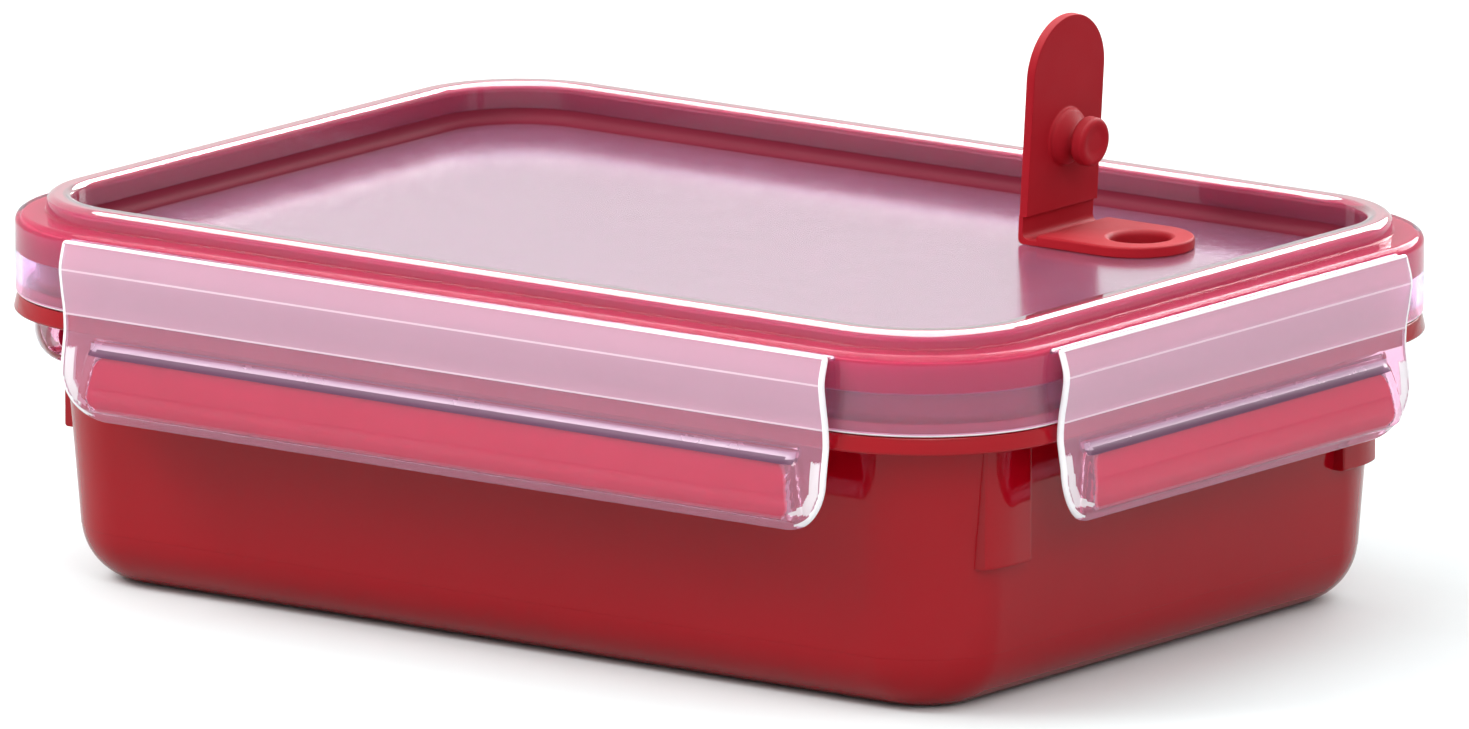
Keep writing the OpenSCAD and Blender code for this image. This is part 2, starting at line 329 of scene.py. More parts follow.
SHOULDER_CLEAR = clear("soft_shoulder", srgb(252, 226, 238), srgb(250, 220, 234), (0.02, 0.04), 0.96,
                       bump=0.005, IOR=1.15, Specular_IOR_Level=0.05)
SKIRT_PINK = clear("skirt_foot", srgb(254, 170, 206), srgb(252, 162, 200), (0.02, 0.04), 0.82,
                   bump=0.005, Specular_IOR_Level=0.3)
# Dark burgundy and nearly opaque: painted shade on the clear lid's recess bottom fillet.
RECESS_SHADE = clear("recess_fillet_shade", srgb(118, 38, 54), srgb(110, 34, 50), (0.3, 0.4), 0.05,
               bump=0.005, Specular_IOR_Level=0)
# Dark mauve and nearly opaque: a painted shadow on the clear collar under the vent.
COLLAR_SHADE = clear("vent_collar_shade", srgb(66, 26, 44), srgb(58, 22, 38), (0.3, 0.4), 0.15)
RIDGE_CLEAR = clear("polished_ridge", srgb(254, 234, 249), srgb(252, 228, 246), (0.015, 0.03), 0.94,
                    bump=0.005, Specular_IOR_Level=0.7, Coat_Weight=1, Coat_Roughness=0.03)
CLIP_SATIN = clear("clip_satin", srgb(250, 207, 227), srgb(247, 201, 223), (0.03, 0.06), 0.58)
# Lighter and less clear than the clip: painted highlight lines along the crease and the satin zone's
# lower edge.
CLIP_CREASE_HIGHLIGHT = clear("clip_crease_highlight", srgb(255, 232, 243), srgb(253, 226, 239), (0.03, 0.06), 0.35)
CLIP_CLEAR = clear("clip_clear", srgb(254, 194, 222), srgb(252, 186, 216), (0.015, 0.04), 0.84)
CLIP_SKIN = clear("clip_skin", srgb(254, 196, 222), srgb(252, 190, 216), (0.015, 0.04), 0.93)
# Pale lavender with little gloss: a painted highlight on the upper half of the grip's top ledge.
CLIP_LEDGE_HIGHLIGHT = clear("clip_ledge_highlight", srgb(232, 196, 222), srgb(228, 188, 216), (0.2, 0.3), 0.5,
                   IOR=1.4, Specular_IOR_Level=0.1)
CLIP_SHADE = clear("clip_shade", srgb(112, 72, 100), srgb(104, 66, 92), (0.3, 0.4), 0.25,
                   IOR=1.4, Specular_IOR_Level=0.05)
FILM = clear("film_hinge", srgb(254, 184, 218), srgb(252, 176, 212), (0.1, 0.16), 0.9,
             Specular_IOR_Level=0.1)
# Nearly opaque white: painted highlight lines on the clips' rims and the lid skirt's lower edge.
EDGE_HIGHLIGHT = clear("edge_highlight", srgb(255, 253, 255), srgb(252, 248, 252), (0.05, 0.08), 0.05)
# White and half clear: a painted glint along the border round the grip.
GLINT = clear("clip_border_glint", srgb(255, 250, 253), srgb(252, 244, 250), (0.05, 0.08), 0.35)
FROSTED = moulded("frosted_panel", srgb(230, 174, 212), srgb(226, 168, 208), (0.17, 0.22),
                  grain=4000, bump=0.03, IOR=1.49, Transmission_Weight=0.85,
                  Coat_Weight=1, Coat_Roughness=0.15, Coat_IOR=1.4, Specular_IOR_Level=0.2)


def core(c):
    """The point of the rounded outline's core rectangle nearest to c."""
    return Vector((math.copysign(min(abs(c.x), CORE_X), c.x),
                   math.copysign(min(abs(c.y), CORE_Y), c.y), 0))


def from_core(c):
    """Level vector from the core rectangle to c."""
    return Vector((c.x, c.y, 0)) - core(c)


def inset_at(c):
    """How far c lies inwards from the skirt's outer face."""
    return CORNER_R - from_core(c).length


def paint(piece, material, chosen):
    """Gives a second material to the faces that chosen(centre in millimetres, normal) picks."""
    index = len(piece.data.materials)
    piece.data.materials.append(material)
    for face in piece.data.polygons:
        if chosen(face.center / MM, face.normal):
            face.material_index = index


def dress(piece, material, slot, body, *nodes):
    """Gives a piece its material, body and the CAD nodes that it replaces. The slot argument is not
    used.
    """
    piece.data.materials.append(material)
    if body:
        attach(piece, body)
    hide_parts(*nodes)


# ---------------------------------------------------------------- container

WALL, WALL_INSET, DRAFT, FLOOR_FILLET, PAD_Z = 1.6, 8.2, 0.085, 11, 26
PAD_INSET, PAD_LEN, PAD_START = WALL_INSET - 0.5, 11.5, CORE_Y - 4
SEAM = 0.06  # the wall stands this far proud of the floor fillet


def wall_at(z):
    return WALL_INSET + DRAFT * (FLANGE_Z - z)


def corner_x(y, inset):
    """How far the outline at this inset lies from the middle along X, at height y."""
    r = CORNER_R - inset
    return CORE_X + (math.sqrt(r * r - (y - CORE_Y) ** 2) if y > CORE_Y else r)


def stacking_pad(sx, sy):
    """Upright pad at one end of a short side, with rounded edges."""
    edge = 0.45
    ys = [PAD_START + edge + (PAD_LEN - 2 * edge) * i / 12 for i in range(13)]
    rings = []
    for z, draw in ((PAD_Z, 0.35), (PAD_Z + 0.08, 0.15), (PAD_Z + 0.3, 0.02), (PAD_Z + 0.6, 0),
                    (FLANGE_Z - 10, 0), (FLANGE_Z + 0.3, 0)):
        first, last = PAD_START, PAD_START + PAD_LEN
        deep = wall_at(z) + 0.7
        out = PAD_INSET + draw
        ring = [(corner_x(first, deep), first)]
        ring += [(corner_x(first + edge * (1 - math.cos(a)), out + edge * (1 - math.sin(a))),
                  first + edge * (1 - math.cos(a))) for a in (0.2, 0.5, 0.9, 1.2)]
        ring += [(corner_x(y, out), y) for y in ys]
        ring += [(corner_x(last - edge * (1 - math.cos(a)), out + edge * (1 - math.sin(a))),
                  last - edge * (1 - math.cos(a))) for a in (1.2, 0.9, 0.5, 0.2)]
        ring += [(corner_x(last, deep), last)]
        rings.append([(sx * x, sy * y, z) for x, y in ring])
    return stacked("pad", rings)


def container():
    tilt = math.degrees(math.atan(DRAFT))
    centre = wall_at(FLOOR_FILLET) + FLOOR_FILLET / math.cos(math.radians(tilt))
    fillet_top = FLOOR_FILLET - FLOOR_FILLET * math.sin(math.radians(tilt))
    section = arc(centre, FLOOR_FILLET, FLOOR_FILLET, 270, 180 + tilt, 20)
    section += [(wall_at(z) - SEAM, z)
                for z in (fillet_top + 0.05, fillet_top + 1.5, 20, 32, 44, FLANGE_Z - 1.2)]
    section += arc(WALL_INSET - 1.1, FLANGE_Z - 1.1, 1.1, 0, 90, 6)
    section += [(4, FLANGE_Z), (1, FLANGE_Z)]
    section += arc(0.2, FLANGE_Z + 0.45, 0.45, 270, 170, 6)
    section += [(0.15, FLANGE_TOP - 0.7)]
    section += arc(0.65, FLANGE_TOP - 0.25, 0.25, 165, 90, 4)
    section += [(1.6, FLANGE_TOP), (1.9, FLANGE_TOP + 0.2), (1.9, FLANGE_TOP + 2)]
    section += arc(2.2, FLANGE_TOP + 2.1, 0.3, 180, 90, 4)
    section += arc(2.4, FLANGE_TOP + 3.7, 1.2, 270, 360, 8)
    section += arc(4.2, RIM_Z - 0.6, 0.6, 180, 0, 12)
    section += [(5, FLANGE_Z + 4.5), (WALL_INSET + WALL - 0.3, FLANGE_Z + 1.2)]
    section += [(wall_at(FLANGE_Z - 1) + WALL, FLANGE_Z - 1)]
    section += arc(centre, FLOOR_FILLET, FLOOR_FILLET - WALL, 180 + tilt, 270, 20)
    piece = swept("container_shell", section, False)
    combine(piece, [stacking_pad(sx, sy) for sx in (-1, 1) for sy in (-1, 1)], "UNION")
    dress(piece, CONTAINER_RED, "container_plastic", "container", "container")


# ---------------------------------------------------------------- lid and seal

COLLAR_H, COLLAR_TOP_R, COLLAR_END_R, LID_HOLE_R = 3.5, 8.5, 7.1, 6.25
CAP_INSET = 21
VENT_PLACE = Matrix.Translation((VENT_X, VENT_Y, 0))


def lid():
    section = [(CAP_INSET, PANEL_UNDER)]
    section += arc(12.4, PANEL_UNDER + 3.5, 3.5, 270, 180, 14)
    section += arc(8.2, RIDGE_Z - 2.1, 0.7, 0, 90, 6)
    section += arc(7.6, RIDGE_Z - 2.1, 0.7, 90, 180, 6)
    section += [(6.9, SHOULDER_UNDER), (LID_WALL + 0.3, SHOULDER_UNDER)]
    section += arc(LID_WALL + 0.3, SHOULDER_UNDER - 0.3, 0.3, 90, 180, 4)
    section += [(LID_WALL, SKIRT_Z + 0.3)]
    section += arc(0.65, SKIRT_Z + 0.4, 0.62, 340, 200, 8)
    section += [(0, SKIRT_Z + 2)]
    section += arc(1.6, SHOULDER_Z - 1.6, 1.6, 180, 90, 12)
    section += arc(4.95, SHOULDER_Z + 0.6, 0.6, 270, 345, 8)
    section += arc(7.1, RIDGE_Z - 1.6, 1.6, 158, 90, 12)
    section += arc(8.9, RIDGE_Z - 1.3, 1.3, 90, 6, 12)
    section += arc(12.9, PANEL_Z + 2.6, 2.6, 182, 270, 14)
    section += [(CAP_INSET, PANEL_Z)]
    piece = swept("lid_shell", section, False)
    collar = lathe("collar", [(LID_HOLE_R - 1, PANEL_UNDER - COLLAR_H),
                              (COLLAR_END_R - 0.3, PANEL_UNDER - COLLAR_H),
                              (COLLAR_END_R, PANEL_UNDER - COLLAR_H + 0.3),
                              (COLLAR_TOP_R, PANEL_UNDER),
                              (COLLAR_TOP_R, PANEL_UNDER + 0.5)], VENT_PLACE)
    hole = lathe("hole", [(LID_HOLE_R, PANEL_UNDER - COLLAR_H - 1), (LID_HOLE_R, PANEL_Z + 1)],
                 VENT_PLACE)
    combine(piece, [collar], "UNION")
    combine(piece, [hole], "DIFFERENCE")
    dress(piece, CLEAR, "clear_plastic", "lid", "lid")

    def panel(c, n):
        inside = abs(c.x) < HALF_LEN - 12 and abs(c.y) < HALF_WID - 12
        return inside and abs(n.z) > 0.99 and PANEL_UNDER - 0.1 < c.z < PANEL_Z + 0.5

    # The recess's bottom fillet, which gets painted shade.
    def fillet(c, n):
        return inset_at(c) > 9.4 and n.z < 0.99 and PANEL_Z + 0.02 < c.z < PANEL_Z + 2.65

    def shoulder(c, n):
        return inset_at(c) < 6.3 and SHOULDER_Z - 1.7 < c.z < SHOULDER_Z + 0.75

    # The collar's wall under the vent, which gets the painted shadow.
    def collar_wall(c, n):
        return c.z < PANEL_UNDER - 0.1 and math.hypot(c.x - VENT_X, c.y - VENT_Y) < 9

    paint(piece, RECESS_SHADE, fillet)
    paint(piece, SHOULDER_CLEAR, shoulder)
    paint(piece, COLLAR_SHADE, collar_wall)
    paint(piece, FROSTED, panel)
    paint(piece, SKIRT_PINK, lambda c, n: c.z < SKIRT_Z + 3.4)
    # Painted highlight along the skirt's lower edge.
    paint(piece, EDGE_HIGHLIGHT, lambda c, n: c.z < SKIRT_Z + 0.32)
    paint(piece, RIDGE_CLEAR, lambda c, n: c.z > RIDGE_Z - 0.9)


def lid_seal():
    """Soft ring moulded on to the lid, with a groove for the container's rim."""
    low, groove_z = SHOULDER_UNDER - 5.7, RIM_Z + 0.3
    groove_out, groove_in = 3.05, 5.35
    outer, inner, top = LID_WALL - BITE, 7.9, SHOULDER_UNDER + BITE
    bead_out, bead_in, bead_top = 6.9 - BITE, 8.9 + BITE, RIDGE_Z - 1.4 + BITE
    section = arc(outer + 0.4, top - 0.4, 0.4, 180, 90, 5)
    section += [(bead_out, top)]
    section += arc(bead_out + 0.7, bead_top - 0.7, 0.7, 180, 90, 5)
    section += arc(bead_in - 0.7, bead_top - 0.7, 0.7, 90, 0, 5)
    section += [(bead_in, PANEL_Z + 2)]
    section += arc(inner - 0.6, low + 0.6, 0.6, 0, -90, 6)
    section += arc(groove_in + 0.3, low + 0.3, 0.3, 270, 180, 4)
    section += [(groove_in, groove_z - 0.2), (groove_in - 0.2, groove_z)]
    section += [(groove_out + 0.2, groove_z), (groove_out, groove_z - 0.2)]
    section += arc(groove_out - 0.3, low + 0.3, 0.3, 0, -90, 4)
    section += arc(outer + 0.5, low + 0.5, 0.5, 270, 180, 6)
    piece = swept("lid_seal_ring", section, True)
    dress(piece, SEAL_RED, "seal_silicone", "lid", "lid_seal")

    # Picks the seal's faces that face the recess, which get the painted shade.
    def faces_recess(c, n):
        return c.z > PANEL_UNDER and n.dot(from_core(c).normalized()) < -0.4

    paint(piece, SEAL_SHADE_RED, faces_recess)


# ---------------------------------------------------------------- clips

CLIP_T, CLIP_CORNER, CLIP_TOP_R, CLIP_ROWS = 1.1, 9.5, 0.8, 93
CLIP_LOW = HINGE_Z - 31
CLIP_TOP = HINGE_Z + 0.65
SATIN_LOW = SKIRT_Z + 0.2
GRIP_TOP, GRIP_LOW = HINGE_Z - 17.2, CLIP_LOW + 1.7
GRIP_INSET, GRIP_SKIN, GRIP_SLANT = 4, 0.9, 1.8
PAD_SIDE, PAD_TOP, PAD_LOW, PAD_R = GRIP_INSET + 2.4, GRIP_TOP - 1.5, GRIP_LOW + 1, 2.5
face_at = reader(spline([
    (HINGE_OUT + 0.6, CLIP_TOP), (HINGE_OUT + 0.72, HINGE_Z - 0.2), (3.4, HINGE_Z - 3.8),
    (3.05, HINGE_Z - 7.4), (2.35, HINGE_Z - 11.4), (2.1, HINGE_Z - 15), (2.4, HINGE_Z - 17.6),
    (2.9, HINGE_Z - 21), (3.1, HINGE_Z - 25), (2.8, HINGE_Z - 28.4), (1.9, CLIP_LOW)]))
grip_at = reader(spline([
    (2.3, GRIP_TOP), (3.4, GRIP_TOP - 1.4), (4.3, GRIP_TOP - 4.2), (4.82, GRIP_TOP - 7.2),
    (4.92, GRIP_LOW + 2.6), (4.1, GRIP_LOW + 0.5), (2.6, GRIP_LOW)]))
HOOK = [(0, GRIP_TOP + 1.2), (0.25, GRIP_TOP + 0.85), (0.6, GRIP_TOP + 0.4), (0.68, GRIP_TOP + 0.1),
        (0.66, GRIP_TOP - 0.2), (0.4, GRIP_TOP - 0.7), (0, GRIP_TOP - 1.2)]
hook_at = reader(HOOK)


def inside_by(x, z, half, low, high, r_low, r_high):
    """How far (x, z) lies inside a rectangle with rounded corners."""
    x = abs(x)
    r = r_low if z < (low + high) / 2 else r_high
    dx = x - (half - r)
    dz = (low + r) - z if z < (low + high) / 2 else z - (high - r)
    if dx > 0 and dz > 0:
        return r - math.hypot(dx, dz)
    return min(half - x, z - low, high - z)


def rim_inset(depth, radius):
    """How far a full-round edge draws back from the face at this depth inside the outline."""
    if depth >= radius:
        return 0
    k = 1 - max(depth, 0) / radius
    return radius * (1 - math.sqrt(max(1 - k * k, 0)))


EDGE_STEPS = [0, 0.03, 0.09, 0.18, 0.3, 0.45, 0.62]


def clip_columns(half):
    """X positions: close together at the ends, where the corners and the grip's sides are."""
    end = EDGE_STEPS + [0.85, 1.15, 1.5, 1.9, 2.3, 2.7, 3.1, 3.5, 3.8, 4.1, 4.4, 4.7, 5, 5.3, 5.6,
                        5.9, 6.2, 6.5, 6.8, 7.1, 7.4, 7.8, 8.2, 8.6, 9, 9.5, 10, 11, 13]
    middle = [lerp(half - 16, 16 - half, k / 12) for k in range(1, 12)]
    right = [half - d for d in end] + [half - 16]
    return right + middle + [-x for x in reversed(right)]


def side_place(side):
    """Turns (x, out, z) on a side into the box's own axes."""
    turn = {"back": (1, 0, 0, 1), "front": (-1, 0, 0, -1), "left": (0, -1, 1, 0),
            "right": (0, 1, -1, 0)}[side]
    reach = HALF_WID if side in ("front", "back") else HALF_LEN

    def place(x, out, z):
        y = reach + out
        return (turn[0] * x + turn[1] * y, turn[2] * x + turn[3] * y, z)
    return place


def grip_amount(x, z, half):
    """0 outside the grip's outline, 1 well inside it; its sides slant a little."""
    slant = GRIP_SLANT * (z - GRIP_LOW) / (GRIP_TOP - GRIP_LOW)
    depth = inside_by(x, z, half - GRIP_INSET - slant, GRIP_LOW - 0.3, GRIP_TOP + 0.4, 3, 3)
    return smooth(depth / 1.1)


def clip_depth(x, z, half):
    return inside_by(x, z, half, CLIP_LOW, CLIP_TOP, CLIP_CORNER, CLIP_TOP_R)


def clip_outer(x, z, half):
    swell = max(grip_at(z) - face_at(z), 0) if GRIP_LOW < z < GRIP_TOP else 0
    edge = rim_inset(clip_depth(x, z, half), CLIP_T / 2)
    return face_at(z) + swell * grip_amount(x, z, half) - edge


def pad_slant(z):
    """How far the pad's sides have drawn in at this height."""
    return GRIP_SLANT * (z - PAD_LOW) / (PAD_TOP - PAD_LOW)


def pad_depth(x, z, half):
    return inside_by(x, z, half - PAD_SIDE - pad_slant(z), PAD_LOW, PAD_TOP, PAD_R, PAD_R)


def clip_inner(x, z, half):
    hook = hook_at(z) * smooth((half - 6 - abs(x)) / 0.8)
    if not HOOK[-1][1] < z < HOOK[0][1]:
        hook = 0
    back = face_at(z) - CLIP_T - hook
    pocket = grip_at(z) - GRIP_SKIN if GRIP_LOW < z < GRIP_TOP else back
    back = lerp(back, max(pocket, back), smooth((pad_depth(x, z, half) + 0.5) / 0.5))
    return back + rim_inset(clip_depth(x, z, half), CLIP_T / 2)


class Rows:
    """Z positions in each column, from a lower edge that follows rounded corners. With a split,
    a row lies at that height in every column, a little over half way up."""

    SPLIT_SHARE = 0.55

    def __init__(self, half, low, high, r_low, r_high, count, split=None):
        self.half, self.low, self.high, self.r_low, self.r_high = half, low, high, r_low, r_high
        self.count, self.split = count, split

    def corner(self, x, r):
        past = abs(x) - (self.half - r)
        return r - math.sqrt(max(r * r - past * past, 0)) if past > 0 else 0

    def __call__(self, x, j):
        low = self.low + self.corner(x, self.r_low)
        high = self.high - self.corner(x, self.r_high)
        edge = len(EDGE_STEPS)
        squeeze = min(1.3 * (high - low) / (self.high - self.low), 1)  # for short columns
        if j < edge:
            return (x, low + EDGE_STEPS[j] * squeeze)
        if j >= self.count - edge:
            return (x, high - EDGE_STEPS[self.count - 1 - j] * squeeze)
        low += EDGE_STEPS[-1] * squeeze
        high -= EDGE_STEPS[-1] * squeeze
        t = (j - edge + 1) / (self.count - 2 * edge + 1)
        if not self.split:
            return (x, lerp(low, high, t))
        if t < self.SPLIT_SHARE:
            return (x, lerp(low, self.split, t / self.SPLIT_SHARE))
        return (x, lerp(self.split, high, (t - self.SPLIT_SHARE) / (1 - self.SPLIT_SHARE)))


def clip(side, length):
    half = length / 2
    rows = Rows(half, CLIP_LOW, CLIP_TOP, CLIP_CORNER, CLIP_TOP_R, CLIP_ROWS, SATIN_LOW)
    piece = shell(side + "_clip_shell", clip_columns(half), rows,
                  lambda x, z: clip_outer(x, z, half), lambda x, z: clip_inner(x, z, half),
                  side_place(side))
    dress(piece, CLIP_CLEAR, "clear_plastic", side + "_clip", side + "_clip")
    along = 0 if side in ("front", "back") else 1

    def depth(c):
        return clip_depth(c[along], c.z, half)

    # The crease and the satin zone's lower edge, which get painted highlight lines.
    def crease(c, n):
        return abs(c.z - HINGE_Z + 4.2) < 0.22 or SATIN_LOW < c.z < SATIN_LOW + 0.45

    # The grip's top ledge: its upper half gets a painted highlight, its lower half painted shade.
    def grip_ledge(c, n):
        return PAD_TOP - 0.3 < c.z < GRIP_TOP + 0.2 and abs(c[along]) < half - PAD_SIDE

    # A strip round the grip, which gets the painted glint.
    def border(c, n):
        return CLIP_LOW + 3.5 < c.z < GRIP_TOP - 1 and 1 < depth(c) < 2.9

    # The clip's rim faces, which get the painted highlight.
    def rim(c, n):
        end = abs(c[along]) > half - CLIP_CORNER and c.z < CLIP_TOP - 0.8
        return depth(c) < (0.8 if end else 0.5) and c.z > CLIP_LOW + 1.2

    paint(piece, CLIP_SATIN, lambda c, n: c.z > SATIN_LOW)
    paint(piece, CLIP_CREASE_HIGHLIGHT, crease)
    paint(piece, CLIP_SKIN, lambda c, n: pad_depth(c[along], c.z, half) > 0)
    paint(piece, CLIP_LEDGE_HIGHLIGHT, grip_ledge)
    paint(piece, CLIP_SHADE, lambda c, n: grip_ledge(c, n) and c.z < GRIP_TOP - 0.75)
    paint(piece, GLINT, border)
    paint(piece, EDGE_HIGHLIGHT, rim)


def grip_pad(side, length):
    """The soft pad behind the grip's clear skin."""
    half = length / 2
    reach = half - PAD_SIDE
    rows = Rows(reach, PAD_LOW, PAD_TOP, PAD_R, PAD_R, 40)
    steps = EDGE_STEPS + [0.85, 1.15, 1.5, 1.9, 2.3, 2.6, 3, 4]
    right = [reach - d for d in steps]
    middle = [lerp(reach - 8, 8 - reach, k / 10) for k in range(11)]

    def slanted(x, z):
        return x * (reach - pad_slant(z)) / reach

    def rim(x, z):
        return rim_inset(inside_by(x, z, reach, PAD_LOW, PAD_TOP, PAD_R, PAD_R), 0.6)

    place = side_place(side)
    piece = shell(side + "_grip_pad_core", right + middle + [-x for x in reversed(right)], rows,
                  lambda x, z: grip_at(z) - GRIP_SKIN + BITE - rim(x, z),
                  lambda x, z: face_at(z) - CLIP_T + BITE + rim(x, z),
                  lambda x, out, z: place(slanted(x, z), out, z))
    dress(piece, PAD_RED, "seal_silicone", side + "_clip", side + "_grip_pad")


def film_hinge(side, length):
    """Thin strip from the lid's skirt to the clip's top edge, blended across the joint."""
    half = length / 2
    top = spline([(-0.35, 0.5), (0.1, 0.33), (0.5, 0.22), (1, 0.22), (1.4, 0.32)], 4)
    loop = [(out, HINGE_Z + rise) for out, rise in top]
    loop += [(out, HINGE_Z - rise) for out, rise in reversed(top)]
    place = side_place(side)
    ends = [half - d for d in (0, 0.1, 0.3, 0.7, 1.5)]
    rings = []
    for x in ends + [-x for x in reversed(ends)]:
        draw = 0.5 * (1 - min((half - abs(x)) / 0.3, 1))
        rings.append([place(x, out, lerp(z, HINGE_Z, draw)) for out, z in loop])
    piece = stacked(side + "_film_strip", rings)
    dress(piece, FILM, "clear_plastic", None, side + "_film_hinge")
    start = Vector(place(0, 0.3, HINGE_Z)) * MM
    end = Vector(place(0, 1.2, HINGE_Z)) * MM
    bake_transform(piece)


# ---------------------------------------------------------------- vent

BASE_T, VENT_HOLE_R, WEB_T, FLAP_T = 2, 5.35, 0.9, 1.8
BASE_TOP = PANEL_Z + BASE_T
VENT_R = corner_mm("vent_flap", 1).y - VENT_Y
FLAP_FACE = FLAP_AXIS.x - 0.65
FLAP_BACK = FLAP_FACE - FLAP_T
FLAP_LOW, FLAP_HIGH = FLAP_AXIS.z + 3.4, PANEL_Z + 39.8
FLAP_LEAN = math.radians(3.5)
STOPPER_Z = FLAP_AXIS.z + HOLE_REACH
BASE_START = FLAP_AXIS.x + 1.6


def tongue(length, inset):
    """Outline of a strip that starts square at 0 and ends in a half circle."""
    reach = VENT_R - inset
    return [(inset, -reach)] + arc(length - VENT_R, 0, reach, -90, 90, 40) + [(inset, reach)]


def vent_base():
    end_x = VENT_X + 9.4
    steps = [(0.2, 0), (0, 0.2), (0, 1.5), (0.06, 1.72), (0.18, 1.88), (0.4, 2)]
    rings = [[(BASE_START + a, VENT_Y + b, PANEL_Z + h)
              for a, b in tongue(end_x - BASE_START, inset)] for inset, h in steps]
    piece = stacked("vent_base_plate", rings)
    low = PANEL_UNDER - COLLAR_H - 0.9
    tube = lathe("tube", [(LID_HOLE_R + 0.5, low), (LID_HOLE_R + 0.8, low + 0.3),
                          (LID_HOLE_R + 0.8, low + 0.6), (LID_HOLE_R + 0.6, low + 0.85),
                          (LID_HOLE_R - 0.06, low + 0.85), (LID_HOLE_R - 0.06, PANEL_Z + 0.5)],
                 VENT_PLACE)
    flare = 1.1
    funnel = [(VENT_HOLE_R, low - 1), (VENT_HOLE_R, BASE_TOP - 1.4)]
    funnel += arc(VENT_HOLE_R + flare, BASE_TOP - flare, flare, 180, 90, 10)[1:]
    funnel += [(VENT_HOLE_R + flare, BASE_TOP + 1)]
    hole = lathe("funnel", funnel, VENT_PLACE)
    combine(piece, [tube], "UNION")
    combine(piece, [hole], "DIFFERENCE")
    dress(piece, VENT_RED, "vent_silicone", "lid", "vent_base")


def vent_web():
    """Bent web of thin silicone between the base and the flap."""
    r = 1.4
    deep = BASE_START + 1.5
    low, edge = PANEL_Z + 0.05, 0.05
    outer = [(deep, low)] + arc(FLAP_BACK + 1, low + 1, 1, 270, 180, 8)
    outer += [(FLAP_BACK, PANEL_Z + h) for h in (2, 3, 4, 5.3)]
    inner = [(FLAP_BACK + WEB_T, PANEL_Z + h) for h in (5.3, 4, 3)]
    inner += arc(FLAP_BACK + WEB_T + r, PANEL_Z + WEB_T + r, r, 180, 270, 8)
    inner += [(BASE_START - 0.5, PANEL_Z + WEB_T), (deep, PANEL_Z + WEB_T)]
    loop = [(x + math.tan(FLAP_LEAN) * max(z - FLAP_AXIS.z, 0), z) for x, z in outer + inner]
    rings = []
    for y, shrink in ((edge - VENT_R, 0.02), (0.3 - VENT_R, 0), (VENT_R - 0.3, 0),
                      (VENT_R - edge, 0.02)):
        rings.append([(lerp(x, FLAP_AXIS.x, shrink), VENT_Y + y, lerp(z, PANEL_Z + 1.5, shrink))
                      for x, z in loop])
    piece = stacked("vent_web", rings)
    dress(piece, VENT_RED, "vent_silicone", None, "vent_hinge_web")
    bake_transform(piece)


def vent_flap():
    height = FLAP_HIGH - FLAP_LOW
    edge = 0.35
    steps = [(edge, 0), (0.1, 0.1), (0, edge), (0, FLAP_T - edge), (0.1, FLAP_T - 0.1), (edge, FLAP_T)]
    rings = [[(FLAP_BACK + h, VENT_Y + b, FLAP_LOW + a)
              for a, b in tongue(height, inset)] for inset, h in steps]
    piece = stacked("vent_flap_leaf", rings)
    head_r = 4.4
    profile = [(5.6, -0.5)]
    profile += arc(5.6, 0.5, 0.5, 270, 180, 6)
    profile += [(4.95, 0.8), (4.5, 1.2), (3, 2.35), (2.7, 2.8), (2.6, 3.3), (2.65, 3.7)]
    profile += arc(head_r - 0.8, 4.6, 0.8, 290, 360, 6)
    profile += arc(head_r - 0.9, 5.6, 0.9, 10, 90, 8)
    profile += [(2.9, 6.46), (2.6, 6.3), (1.5, 6.22)]
    place = Matrix.Translation((FLAP_FACE, VENT_Y, STOPPER_Z)) @ Matrix.Rotation(math.pi / 2, 4, "Y")
    combine(piece, [lathe("stopper", profile, place)], "UNION")
    axis = Matrix.Translation(FLAP_AXIS * MM)
    piece.data.transform(axis @ Matrix.Rotation(FLAP_LEAN, 4, "Y") @ axis.inverted())
    dress(piece, VENT_RED, "vent_silicone", "vent_flap", "vent_flap")


# ---------------------------------------------------------------- build

container()
lid()
lid_seal()
for side, length in (("front", LONG_CLIP), ("back", LONG_CLIP),
                     ("left", SHORT_CLIP), ("right", SHORT_CLIP)):
    clip(side, length)
    grip_pad(side, length)
    film_hinge(side, length)
vent_base()
vent_web()
vent_flap()

# ---------------------------------------------------------------- camera, floor and light

# The camera stands this far from the origin and looks at a point a little right of and above it.
AZIMUTH, ELEVATION, DISTANCE = math.radians(36.88), math.radians(12.27), 5.5
VIEW_RIGHT, VIEW_UP = 0.00281, 0.03916
right = Vector((math.cos(AZIMUTH), math.sin(AZIMUTH), 0))
back = Vector((math.sin(AZIMUTH) * math.cos(ELEVATION), -math.cos(AZIMUTH) * math.cos(ELEVATION),
               math.sin(ELEVATION)))
up = back.cross(right)
camera = bpy.data.objects.new("camera", bpy.data.cameras.new("camera"))
bpy.context.scene.collection.objects.link(camera)
camera.data.lens = 767.6
camera.data.sensor_width = 36
camera.data.clip_end = 100
camera.location = back * DISTANCE
camera.rotation_mode = "QUATERNION"
aim = right * VIEW_RIGHT + up * VIEW_UP
camera.rotation_quaternion = (aim - camera.location).to_track_quat("-Z", "Y")
bpy.context.scene.camera = camera


def seen_directly(nodes, links):
    """A socket that is 1 for camera and transmission rays and 0 for all others."""
    path = nodes.new("ShaderNodeLightPath")
    seen = nodes.new("ShaderNodeMath")
    seen.operation = "MAXIMUM"
    links.new(path.outputs["Is Camera Ray"], seen.inputs[0])
    links.new(path.outputs["Is Transmission Ray"], seen.inputs[1])
    return seen.outputs["Value"]


def background(nodes, strength):
    """A white background shader."""
    shader = nodes.new("ShaderNodeBackground")
    shader.inputs["Color"].default_value = (1, 1, 1, 1)
    shader.inputs["Strength"].default_value = strength
    return shader


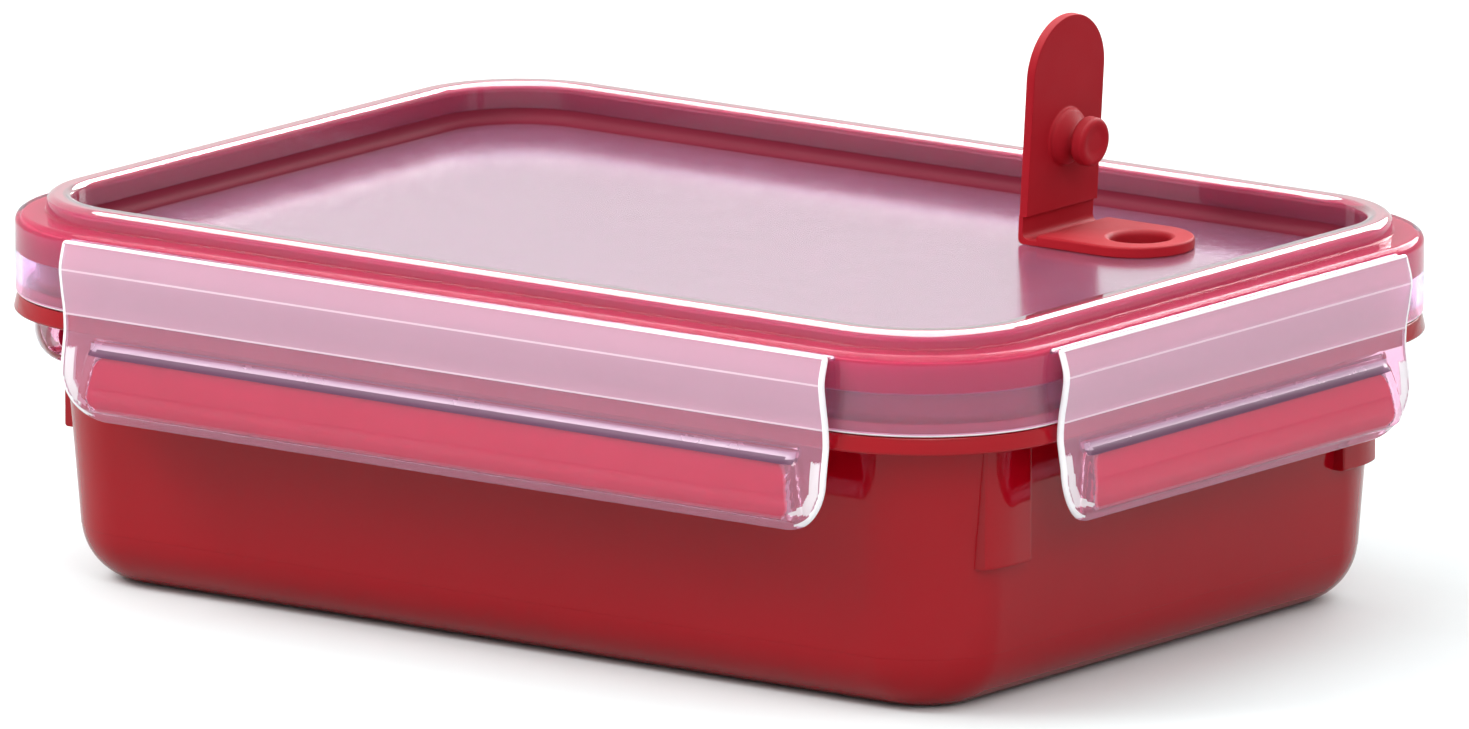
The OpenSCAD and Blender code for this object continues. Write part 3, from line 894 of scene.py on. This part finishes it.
def backdrop():
    """White behind the object, an even glow for its reflections, and a soft sky for its light,
    darker near the horizon."""
    world = bpy.data.worlds.new("studio")
    world.use_nodes = True
    nodes, links = world.node_tree.nodes, world.node_tree.links
    sky = nodes["Background"]
    sky.inputs["Color"].default_value = (1, 1, 1, 1)
    where = nodes.new("ShaderNodeTexCoord")
    split = nodes.new("ShaderNodeSeparateXYZ")
    links.new(where.outputs["Generated"], split.inputs["Vector"])
    level = nodes.new("ShaderNodeMapRange")
    level.interpolation_type = "SMOOTHSTEP"
    level.inputs["From Min"].default_value = 0
    level.inputs["From Max"].default_value = 0.9
    level.inputs["To Min"].default_value = 0.36
    level.inputs["To Max"].default_value = 1.3
    links.new(split.outputs["Z"], level.inputs["Value"])
    links.new(level.outputs["Result"], sky.inputs["Strength"])
    mirrored = nodes.new("ShaderNodeMixShader")
    path = nodes.new("ShaderNodeLightPath")
    links.new(path.outputs["Is Glossy Ray"], mirrored.inputs["Fac"])
    links.new(sky.outputs["Background"], mirrored.inputs[1])
    links.new(background(nodes, 0.9).outputs["Background"], mirrored.inputs[2])
    mix = nodes.new("ShaderNodeMixShader")
    links.new(seen_directly(nodes, links), mix.inputs["Fac"])
    links.new(mirrored.outputs["Shader"], mix.inputs[1])
    links.new(background(nodes, 1.02).outputs["Background"], mix.inputs[2])
    links.new(mix.outputs["Shader"], nodes["World Output"].inputs["Surface"])
    bpy.context.scene.world = world


def lamp(name, where, size, power, diffuse=True, gloss=True):
    """A square lamp aimed at the origin, whose light is kept from diffuse and transmission rays
    or from glossy rays where that is said."""
    light = bpy.data.lights.new(name, "AREA")
    light.energy, light.size = power, size
    holder = bpy.data.objects.new(name, light)
    holder.location = where
    holder.rotation_euler = (-Vector(where)).to_track_quat("-Z", "Y").to_euler()
    holder.visible_diffuse = holder.visible_transmission = diffuse
    holder.visible_glossy = gloss
    holder.visible_camera = False
    bpy.context.scene.collection.objects.link(holder)


def dim(mat, share):
    """Lets a floor pass on only a share of its light to the object. The camera sees it in full."""
    nodes, links = mat.node_tree.nodes, mat.node_tree.links
    shader = nodes["Principled BSDF"]
    colour = shader.inputs["Base Color"].links[0].from_socket
    level = nodes.new("ShaderNodeMapRange")
    level.inputs["To Min"].default_value = share
    level.inputs["To Max"].default_value = 1
    links.new(seen_directly(nodes, links), level.inputs["Value"])
    scaled = nodes.new("ShaderNodeVectorMath")
    scaled.operation = "SCALE"
    links.new(colour, scaled.inputs[0])
    links.new(level.outputs["Result"], scaled.inputs["Scale"])
    links.new(scaled.outputs["Vector"], shader.inputs["Base Color"])


def studio():
    bpy.context.scene.view_settings.view_transform = "Standard"
    backdrop()
    bpy.ops.mesh.primitive_plane_add(size=12)
    floor = bpy.context.object
    floor.name = "floor"
    paper = moulded("paper", (0.83, 0.9, 0.9, 1), (0.82, 0.89, 0.89, 1), (0.7, 0.8), bump=0,
                    Specular_IOR_Level=0.1)
    dim(paper, 0.62)
    floor.data.materials.append(paper)
    lamp("key", (-1.3, -1.2, 1.8), 1.1, 38, gloss=False)
    lamp("fill", (1.7, -1, 1.1), 1.2, 13, gloss=False)
    lamp("card", (0, 0, 1.15), 2, 110, diffuse=False)
    lamp("back_card", (0, 1.75, 1.15), 1.4, 90, diffuse=False)


studio()
